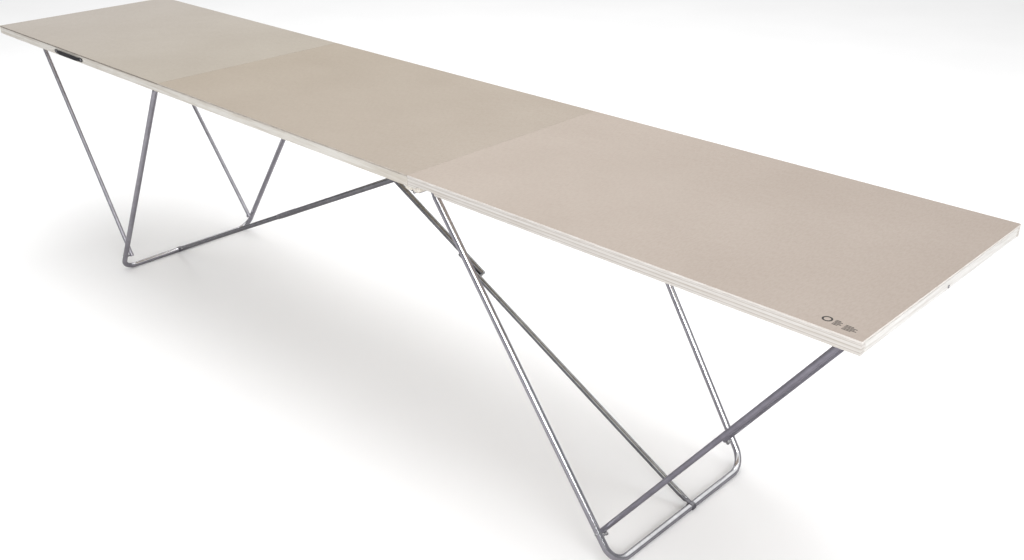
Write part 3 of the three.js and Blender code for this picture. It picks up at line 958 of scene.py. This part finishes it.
def make_stamp():
    """A small printed mark by the right end's front corner: a plain ring and short bars, no lettering."""
    low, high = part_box("right_sheet")
    ink = 0.06 * MM
    bar_width = 1.9 * MM
    line_pitch = 3.6 * MM
    bar_lengths = (9, 14, 12, 15, 10)
    builder = bmesh.new()
    ring_place = Vector((high.x - 72 * MM, low.y + 30 * MM, high.z))
    add_flat_ring(builder, ring_place, 8.5 * MM, 5.5 * MM, ink)
    for from_end, from_front, stretch in ((60 * MM, 34 * MM, 0.9), (42 * MM, 30 * MM, 1.45)):
        x = high.x - from_end
        for line, length in enumerate(bar_lengths):
            y = low.y + from_front - line * line_pitch
            end = Vector((x + length * stretch * MM, y + bar_width, high.z + ink))
            add_block(builder, Vector((x, y, high.z)), end, 0)
    finish_piece("printed_mark", builder, STAMP_INK, "right_section")


def make_end_screw():
    """The screw in the middle of the right end's face."""
    low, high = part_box("right_right_cross_rail")
    place = Vector((high.x, CENTRE_Y, low.z + 0.3 * (high.z - low.z)))
    builder = bmesh.new()
    add_screw(builder, place, X_AXIS, 3 * MM)
    finish_piece("end_rail_screw", builder, DARK_PLATE, "right_section")


# ---------------------------------------------------------------- stage, light and camera

def make_floor():
    """A plain pale floor that reaches well past the table, just below its feet."""
    half_size = 40
    gap = 0.2 * MM
    builder = bmesh.new()
    bmesh.ops.create_grid(builder, x_segments=8, y_segments=8, size=half_size)
    mesh = bpy.data.meshes.new("studio_floor")
    builder.to_mesh(mesh)
    builder.free()
    mesh.materials.append(studio_floor("studio_floor"))
    floor = bpy.data.objects.new("studio_floor", mesh)
    floor.location.z = CAD_BOX[0].z - gap
    bpy.context.scene.collection.objects.link(floor)


def add_area_light(name, place, aim, size, power):
    lamp = bpy.data.lights.new(name, "AREA")
    lamp.shape = "RECTANGLE"
    lamp.size, lamp.size_y = size
    lamp.energy = power
    light = bpy.data.objects.new(name, lamp)
    light.location = place
    light.rotation_mode = "QUATERNION"
    light.rotation_quaternion = (Vector(aim) - Vector(place)).to_track_quat("-Z", "Y")
    bpy.context.scene.collection.objects.link(light)


def darken_mirrored_walls(world, background):
    """Metal mirrors a white ceiling above dim walls, so that tubes show a bright line and dark edges."""
    tree = world.node_tree
    nodes, links = tree.nodes, tree.links
    place = nodes.new("ShaderNodeTexCoord")
    split = nodes.new("ShaderNodeSeparateXYZ")
    walls = nodes.new("ShaderNodeValToRGB")
    rays = nodes.new("ShaderNodeLightPath")
    mirrored = nodes.new("ShaderNodeBackground")
    wall_stop, ceiling_stop = walls.color_ramp.elements
    wall_stop.position = 0.3
    wall_stop.color = (0.2, 0.2, 0.215, 1)
    ceiling_stop.position = 0.62
    ceiling_stop.color = (1, 1, 1, 1)
    links.new(place.outputs["Generated"], split.inputs["Vector"])
    links.new(split.outputs["Z"], walls.inputs["Fac"])
    links.new(walls.outputs["Color"], mirrored.inputs["Color"])
    mixed = mix_shaders(tree, rays.outputs["Is Glossy Ray"], background.outputs["Background"],
                        mirrored.outputs["Background"])
    links.new(mixed, nodes["World Output"].inputs["Surface"])


def make_light():
    """Soft studio light: a white surround, one large soft box overhead and one from the right."""
    world = bpy.data.worlds.new("studio")
    world.use_nodes = True
    background = world.node_tree.nodes["Background"]
    background.inputs["Color"].default_value = (1, 1, 1, 1)
    background.inputs["Strength"].default_value = 0.78
    darken_mirrored_walls(world, background)
    bpy.context.scene.world = world
    add_area_light("overhead_box", (0.2, 0.4, 4.2), (0, 0, 0.4), (6, 3), 150)
    add_area_light("right_box", (5.0, -3.2, 2.4), (0.4, 0, 0.4), (3, 2), 150)
    bpy.context.scene.view_settings.view_transform = "Standard"


def make_camera():
    """The camera, above the right end's front corner and looking along the table."""
    camera = bpy.data.cameras.new("camera")
    camera.sensor_width = 36
    camera.lens = 36.94
    camera.shift_x = 0.0271
    camera.shift_y = 0.0204
    camera.clip_end = 200
    view = bpy.data.objects.new("camera", camera)
    right = Vector((0.7086, 0.7055, -0.0101)).normalized()
    back = Vector((0.6297, -0.6259, 0.4603)).normalized()
    up = back.cross(right).normalized()
    right = up.cross(back)
    place = Matrix.Translation((2.0529, -1.6215, 1.5118))
    view.matrix_world = place @ Matrix((right, up, back)).transposed().to_4x4()
    bpy.context.scene.collection.objects.link(view)
    bpy.context.scene.camera = view


make_camera()
make_light()
make_floor()
for section in SECTIONS:
    make_sheet(section)
    for row_name in ROWS:
        make_long_rail(section, row_name)
    for end in SIDES:
        make_cross_rail(section, end)
for side_name in SIDES:
    make_leg(side_name)
    make_brace(side_name)
    make_clasp(side_name)
    make_foot_clip(side_name)
    make_brace_bracket(side_name)
    for row_name in ROWS:
        make_strut(side_name, row_name)
        make_catch(side_name, row_name)
        make_leg_bracket(side_name, row_name)
        make_strut_bracket(side_name, row_name)
        for part in ("middle_leaf", "end_leaf"):
            make_hinge_leaf(side_name, row_name, part)
for row_name in ROWS:
    for section in ("middle", "right"):
        make_lug(section, row_name)
make_handle()
make_stamp()
make_end_screw()
